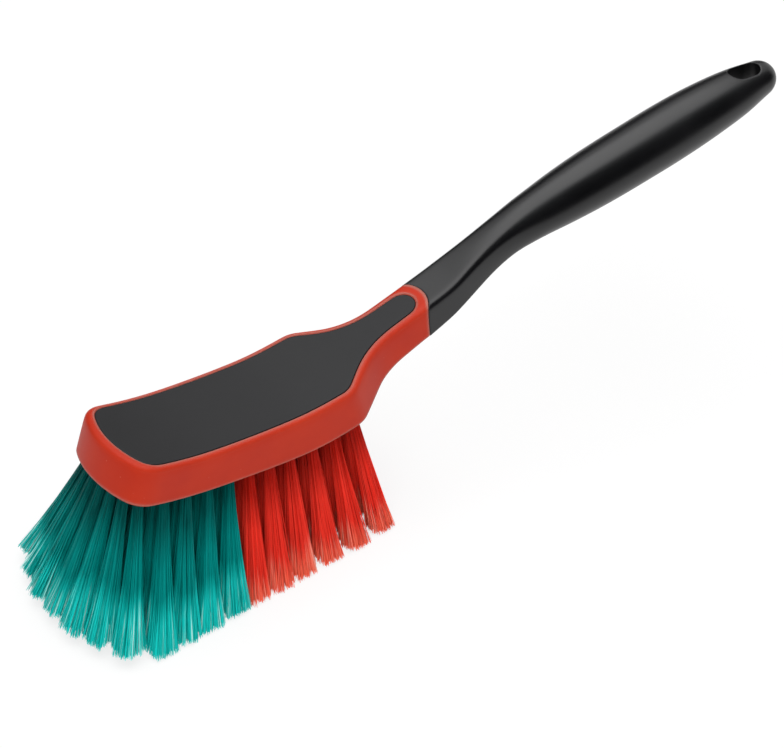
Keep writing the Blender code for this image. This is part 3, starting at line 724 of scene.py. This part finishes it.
def tuft_points(root, tip, flare, chance):
    """Points of every filament of a tuft, with how far along each lies and its lot."""
    base = np.array([v.co for v in strand.data.vertices])
    own = sunflower(FILAMENTS, chance.uniform(-JITTER, JITTER, FILAMENTS))
    turn = chance.uniform(0, FULL_TURN, FILAMENTS)[:, None]
    locks = sunflower(LOCKS, chance.uniform(0, FULL_TURN))
    nearest = np.linalg.norm(own[:, None] - locks[None], axis=2).argmin(1)
    lock_reach = chance.uniform(SHORTEST_LOCK, 1.0, LOCKS)
    reach = lock_reach[nearest] * chance.uniform(SHORTEST_FILAMENT, 1.0, FILAMENTS)
    along = base[:, 2][None, :] * reach[:, None]
    drift = wander(along, chance)
    run = flared(own, locks[nearest], along, flare)
    side = run[:, :, 0] + drift[0] + base[:, 0] * np.cos(turn) - base[:, 1] * np.sin(turn)
    fore = run[:, :, 1] + drift[1] + base[:, 0] * np.sin(turn) + base[:, 1] * np.cos(turn)
    start = root - HOLE_DEPTH * (tip - root) / np.linalg.norm(tip - root)
    points = start + (tip - start) * along[:, :, None]
    points[:, :, 0] += side
    points[:, :, 1] += fore
    comb(points)
    lots = np.repeat(chance.uniform(0, 1, FILAMENTS)[:, None], len(base), 1)
    fray = chance.uniform(-FRAY, FRAY) + chance.uniform(-FRAY, FRAY, LOCKS)[nearest]
    return points.reshape(-1, 3), (along + fray[:, None]).ravel(), lots.ravel()


print(FILAMENTS, "filaments in", LOCKS, "locks to a tuft")

# %% [markdown]
# ## Eleven rows of bristles
#
# The filaments of a row share one mesh, which keeps the scene light, and each row takes
# the place of its coarse stand-in. Every row has its own seed, so no two look alike and
# each comes out the same every time. The filaments stay flat shaded: their sides are
# narrower than a pixel, and smooth normals over the tiny hairs only turn them grey.

# %% Grow the rows
TIP_DISC = {"green": 7.5 * MM, "red": 6.6 * MM}
POLYESTER = {"green": green_polyester, "red": red_polyester}


def grow_row(name, lines, flare, finish, seed):
    """One piece with the filaments of a whole row."""
    chance = np.random.default_rng(seed)
    grown = [tuft_points(root, tip, flare, chance) for root, tip in lines]
    points, along, lots = (np.concatenate(part) for part in zip(*grown))
    faces = [tuple(f.vertices) for f in strand.data.polygons]
    count = len(strand.data.vertices)
    copies = len(points) // count
    every = [tuple(v + k * count for v in face) for k in range(copies) for face in faces]
    mesh = bpy.data.meshes.new(name)
    mesh.from_pydata(points.tolist(), [], every)
    for label, values in (("along", along), ("lot", lots)):
        mesh.attributes.new(label, "FLOAT", "POINT").data.foreach_set("value", values)
    mesh.materials.append(finish)
    row = bpy.data.objects.new(name, mesh)
    bpy.context.collection.objects.link(row)
    return row


for seed, node in enumerate(rows):
    colour = node.split("_")[0]
    row = grow_row(node.replace("tufts", "bristles"), tufts[node], TIP_DISC[colour],
                   POLYESTER[colour], seed)
    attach(row, "root")
    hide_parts(node)
    print(row.name, len(row.data.polygons), "faces")
bpy.data.objects.remove(strand)

# %% [markdown]
# ## The drilled face
#
# Between the roots one can see the underside of the head, drilled with a hole for each
# tuft. Each coarse row sits on its own strip of that face. A copy of the row without its
# strands is that strip: the strands' lower ends are deleted, which opens small square
# holes, and filling them gives a plain strip again.

# %% Cut the strips free
STRAND_ENDS = 10 * MM
FLAT_ANGLE = math.radians(1)


def plain_strip(node):
    """A copy of a coarse row without its strands, closed again."""
    strip = free_copy(node, node.replace("tufts", "strip"))
    strip.data.materials.clear()
    strip.data.materials.append(core_polypropylene)
    only(strip)
    open_merged()
    ends_below = max(tip[2] for _, tip in tufts[node]) + STRAND_ENDS
    pick(strip, "vertices", lambda v: v.co.z < ends_below)
    bpy.ops.mesh.delete(type="VERT")
    bpy.ops.mesh.select_all(action="SELECT")
    bpy.ops.mesh.fill_holes(sides=0)
    bpy.ops.mesh.select_all(action="SELECT")
    bpy.ops.mesh.dissolve_limited(angle_limit=FLAT_ANGLE)
    bpy.ops.object.mode_set(mode="OBJECT")
    return strip


print("strips go from", rows[0], "to", rows[-1])

# %% [markdown]
# ## Round holes
#
# Each hole was drilled along its own tuft, so the drill bits are cylinders that lean as
# the tufts do. They are joined into one cutter, which the exact Boolean solver takes out
# of the strip in one go.

# %% Drill the strips
HOLE_RADIUS = 2.4 * MM
HOLE_SIDES = 20
DRILL_DEPTH = 1.2 * MM


def drill(strip, lines):
    """Cuts a round blind hole into the strip at every tuft."""
    bpy.ops.object.select_all(action="DESELECT")
    bits = []
    for root, tip in lines:
        lean = Vector(root - tip).normalized().to_track_quat("Z", "Y").to_euler()
        bpy.ops.mesh.primitive_cylinder_add(vertices=HOLE_SIDES, radius=HOLE_RADIUS,
                                            depth=2 * DRILL_DEPTH, location=Vector(root),
                                            rotation=lean)
        bits.append(bpy.context.object)
    for bit in bits:
        bit.select_set(True)
    bpy.ops.object.join()
    cutter = bpy.context.object
    only(strip)
    cut = strip.modifiers.new("holes", "BOOLEAN")
    cut.object = cutter
    cut.solver = "EXACT"
    bpy.ops.object.modifier_apply(modifier=cut.name)
    bpy.data.objects.remove(cutter)


for node in rows:
    strip = plain_strip(node)
    drill(strip, tufts[node])
    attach(strip, "root")
    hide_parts(node)
    print(strip.name, len(strip.data.polygons), "faces")

# %% [markdown]
# ## What the camera takes for background
#
# A plain background should look white without lighting the brush any more. Light Path
# tells what kind of ray meets a surface, so the paper and the room can both be whiter
# for rays from the camera, and for those that a shiny or clear surface sends on.

# %% Rays that see the backdrop
def backdrop_rays(owner):
    """One for rays that should meet plain white: from the camera, or off a shiny surface."""
    ray = add(owner, "LightPath")
    first = add(owner, "Math", {0: (ray, "Is Camera Ray"), 1: (ray, "Is Glossy Ray")},
                operation="ADD")
    return add(owner, "Math", {0: (first, 0), 1: (ray, "Is Transmission Ray")},
               operation="ADD", use_clamp=True)


print("backdrop rays ready")

# %% [markdown]
# ## The white floor
#
# A plain studio has a sheet of white paper under the object. The paper gives the camera
# and shiny surfaces a share of plain white, which keeps the background white, and the
# rest of it is ordinary paper that catches the soft shadow. Seen from below, the paper
# is clear, so that the drilled face and the tips can be looked at too.

# %% Floor
FLOOR_WIDTH = 12
PAPER_GLOW = 1.05
GLOW_SHARE = 0.75

bpy.ops.object.select_all(action="DESELECT")
bpy.ops.mesh.primitive_plane_add(size=FLOOR_WIDTH, location=(0, 0, 0))
floor = bpy.context.object
floor.name = "studio_floor"
paper, paper_shader = new_material("white_paper", {"Base Color": linear("f2f2f2"),
                                                   "Roughness": 0.9})
glow = add(paper, "Emission", {"Color": WHITE, "Strength": PAPER_GLOW})
seen = add(paper, "Math", {0: (backdrop_rays(paper), 0), 1: GLOW_SHARE}, operation="MULTIPLY")
sheet = add(paper, "MixShader", {0: (seen, 0), 1: (paper_shader, 0), 2: (glow, 0)})
clear = add(paper, "BsdfTransparent")
side = add(paper, "NewGeometry")
one_sided = add(paper, "MixShader", {0: (side, "Backfacing"), 1: (sheet, 0), 2: (clear, 0)})
paper.node_tree.links.new(one_sided.outputs[0],
                          paper.node_tree.nodes["Material Output"].inputs[0])
floor.data.materials.append(paper)
print(floor.name, "is", floor.dimensions.x, "m wide")

# %% [markdown]
# ## The room
#
# The room is dim, so that it hardly fills the shadows between the tufts, but the camera
# and shiny surfaces see it as plain white, like the paper.

# %% World
ROOM_LEVEL = 0.2
BACKDROP_LEVEL = 1.0

world = bpy.data.worlds.new("studio")
bpy.context.scene.world = world
world.use_nodes = True
room = world.node_tree.nodes["Background"]
level = add(world, "MapRange", {"Value": (backdrop_rays(world), 0), "To Min": ROOM_LEVEL,
                                "To Max": BACKDROP_LEVEL})
world.node_tree.links.new(level.outputs["Result"], room.inputs["Strength"])
room.inputs["Color"].default_value = WHITE
print(world.name, "world ready")

# %% [markdown]
# ## Black flags
#
# A black object in a white room looks grey, because its skin mirrors the room. A
# photographer stands black cards beside it, and their reflection draws the dark band
# between the highlight and the glow of the table. The near one sets where the highlight
# on the grip ends. Only shiny reflections see these two, so they light nothing.

# %% Stand the flags
FLAG_WIDTH = 5
FLAG_MIDDLE = 0.3
FLAGS = {"near_flag": (-0.6, 1.6), "far_flag": (1.6, 1.1)}

flag_black = new_material("flag_black", {"Base Color": BLACK, "Specular IOR Level": 0.0})[0]
for label, (away, tall) in FLAGS.items():
    bpy.ops.mesh.primitive_plane_add(size=1, location=(FLAG_MIDDLE, away, tall / 2),
                                     rotation=(math.radians(90), 0, 0))
    flag = bpy.context.object
    flag.name = label
    flag.scale = (FLAG_WIDTH, tall, 1)
    flag.data.materials.append(flag_black)
    flag.visible_camera = flag.visible_diffuse = flag.visible_shadow = False
    flag.visible_transmission = False
    print(flag.name, "stands at", away, "m")

# %% [markdown]
# ## Softbox and fill
#
# One large softbox overhead gives the broad highlight on the grip and the soft shadow. A
# weak fill from the front left lifts the red side of the bumper. It makes no highlight
# of its own, because a second one would tell of a second lamp.

# %% Lamps
SOFTBOX_PLACE = (0.15, 0.1, 1.7)
SOFTBOX_WIDTH = 2.2
SOFTBOX_POWER = 36
FILL_PLACE = (-0.9, -1.2, 0.42)
FILL_TURN = (math.radians(77), 0, math.radians(-34))
FILL_WIDTH = 1.0
FILL_POWER = 7.8

bpy.ops.object.light_add(type="AREA", location=SOFTBOX_PLACE)
softbox = bpy.context.object
softbox.name = "softbox"
softbox.data.shape = "SQUARE"
softbox.data.size = SOFTBOX_WIDTH
softbox.data.energy = SOFTBOX_POWER

bpy.ops.object.light_add(type="AREA", location=FILL_PLACE, rotation=FILL_TURN)
fill = bpy.context.object
fill.name = "fill"
fill.data.size = FILL_WIDTH
fill.data.energy = FILL_POWER
fill.visible_glossy = False
print(softbox.name, SOFTBOX_POWER, "W,", fill.name, FILL_POWER, "W")

# %% [markdown]
# ## The camera
#
# The camera looks down on the brush from its front left, with a long lens from over a
# metre away, so that near and far ends keep nearly the same scale. Its place and angles
# were found by laying the solid's edges over the photograph. The lens and the sensor
# are in millimetres, as on a real camera.

# %% Camera
CAMERA_PLACE = (-0.6386, -0.8419, 0.9603)
CAMERA_ELEVATION = 41.0
CAMERA_AZIMUTH = -36.3
LENS = 129.3
SENSOR_WIDTH = 36

bpy.ops.object.camera_add(location=CAMERA_PLACE,
                          rotation=(math.radians(90 - CAMERA_ELEVATION), 0,
                                    math.radians(CAMERA_AZIMUTH)))
camera = bpy.context.object
camera.data.lens = LENS
camera.data.sensor_width = SENSOR_WIDTH
camera.data.sensor_fit = "HORIZONTAL"
bpy.context.scene.camera = camera
bpy.context.scene.view_settings.view_transform = "Standard"
print("camera at", CAMERA_PLACE)
